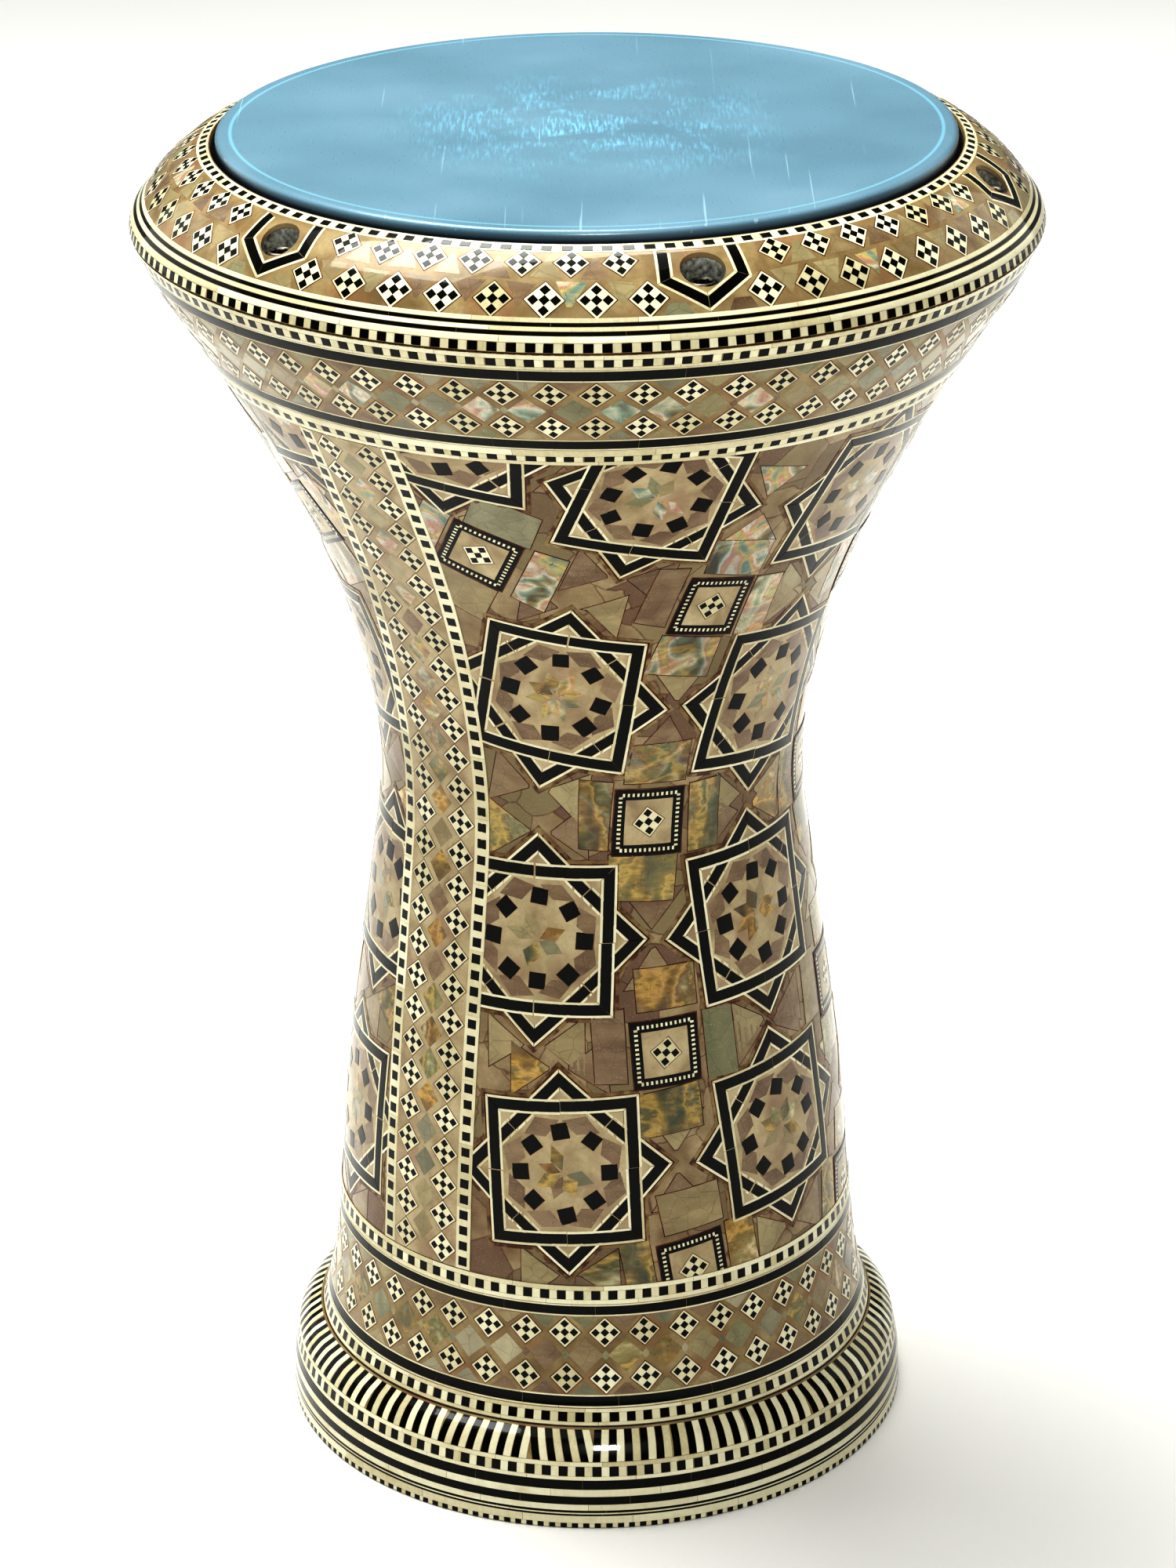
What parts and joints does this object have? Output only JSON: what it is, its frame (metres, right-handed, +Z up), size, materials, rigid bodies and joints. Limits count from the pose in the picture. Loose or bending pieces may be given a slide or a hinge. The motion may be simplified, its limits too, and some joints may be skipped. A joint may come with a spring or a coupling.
{
  "type": "goblet drum",
  "caption": "Goblet-shaped hand drum: hollow cast metal shell covered in pearl inlay, open foot, synthetic head held down by a bolted tension ring.",
  "frame": {"origin": "centre of the foot's lower face", "axes": "+Z up along the drum's axis towards the head, -Y towards the front, +X to the right seen from the front"},
  "size_m": [0.2748, 0.2748, 0.4255],
  "materials": {
    "cast_aluminium": "as cast, dull",
    "ring_aluminium": "cast and machined",
    "hoop_aluminium": "satin",
    "pearl_inlay": "mother-of-pearl, bone and black tiles in resin under clear lacquer",
    "dark_pearl_inlay": "pearl and abalone tiles in brown resin under clear lacquer",
    "striped_inlay": "bone and black strips in resin under clear lacquer",
    "blue_film": "satin synthetic film, slightly see-through",
    "blackened_steel": "black oxide",
    "zinc_plated_steel": "zinc plated",
    "brass": "turned"
  },
  "bodies": {
    "shell": {"body_shell": "cast_aluminium", "bowl_band_inlay": "pearl_inlay", "field_inlay": "dark_pearl_inlay", "stem_band_inlay": "pearl_inlay", "foot_inlay": "striped_inlay", "thread_insert_1": "brass", "thread_insert_2": "brass", "thread_insert_3": "brass", "thread_insert_4": "brass", "thread_insert_5": "brass", "thread_insert_6": "brass"},
    "rim": {"tension_ring": "ring_aluminium", "rim_inlay": "pearl_inlay", "head_hoop": "hoop_aluminium", "head_film": "blue_film", "bolt_washer_1": "zinc_plated_steel", "bolt_washer_2": "zinc_plated_steel", "bolt_washer_3": "zinc_plated_steel", "bolt_washer_4": "zinc_plated_steel", "bolt_washer_5": "zinc_plated_steel", "bolt_washer_6": "zinc_plated_steel"},
    "bolt_1": {"tension_bolt_1": "blackened_steel"},
    "bolt_2": {"tension_bolt_2": "blackened_steel"},
    "bolt_3": {"tension_bolt_3": "blackened_steel"},
    "bolt_4": {"tension_bolt_4": "blackened_steel"},
    "bolt_5": {"tension_bolt_5": "blackened_steel"},
    "bolt_6": {"tension_bolt_6": "blackened_steel"}
  },
  "joints": [
    {"name": "rim_lift", "type": "slide", "parent": "shell", "child": "rim", "axis": [0, 0, 1], "range_m": [0, 0.01]},
    {"name": "bolt_1_turn", "type": "hinge", "parent": "rim", "child": "bolt_1", "pos_m": [0.11852, -0.03176, 0.4088], "axis": [0, 0, 1], "range_deg": [0, 3600]},
    {"name": "bolt_2_turn", "type": "hinge", "parent": "rim", "child": "bolt_2", "pos_m": [0.08676, 0.08676, 0.4088], "axis": [0, 0, 1], "range_deg": [0, 3600]},
    {"name": "bolt_3_turn", "type": "hinge", "parent": "rim", "child": "bolt_3", "pos_m": [-0.03176, 0.11852, 0.4088], "axis": [0, 0, 1], "range_deg": [0, 3600]},
    {"name": "bolt_4_turn", "type": "hinge", "parent": "rim", "child": "bolt_4", "pos_m": [-0.11852, 0.03176, 0.4088], "axis": [0, 0, 1], "range_deg": [0, 3600]},
    {"name": "bolt_5_turn", "type": "hinge", "parent": "rim", "child": "bolt_5", "pos_m": [-0.08676, -0.08676, 0.4088], "axis": [0, 0, 1], "range_deg": [0, 3600]},
    {"name": "bolt_6_turn", "type": "hinge", "parent": "rim", "child": "bolt_6", "pos_m": [0.03176, -0.11852, 0.4088], "axis": [0, 0, 1], "range_deg": [0, 3600]}
  ],
  "couplings": [
    {"joint": "bolt_1_turn", "follows": "rim_lift", "rad_per_m": 6283.2},
    {"joint": "bolt_2_turn", "follows": "rim_lift", "rad_per_m": 6283.2},
    {"joint": "bolt_3_turn", "follows": "rim_lift", "rad_per_m": 6283.2},
    {"joint": "bolt_4_turn", "follows": "rim_lift", "rad_per_m": 6283.2},
    {"joint": "bolt_5_turn", "follows": "rim_lift", "rad_per_m": 6283.2},
    {"joint": "bolt_6_turn", "follows": "rim_lift", "rad_per_m": 6283.2}
  ]
}
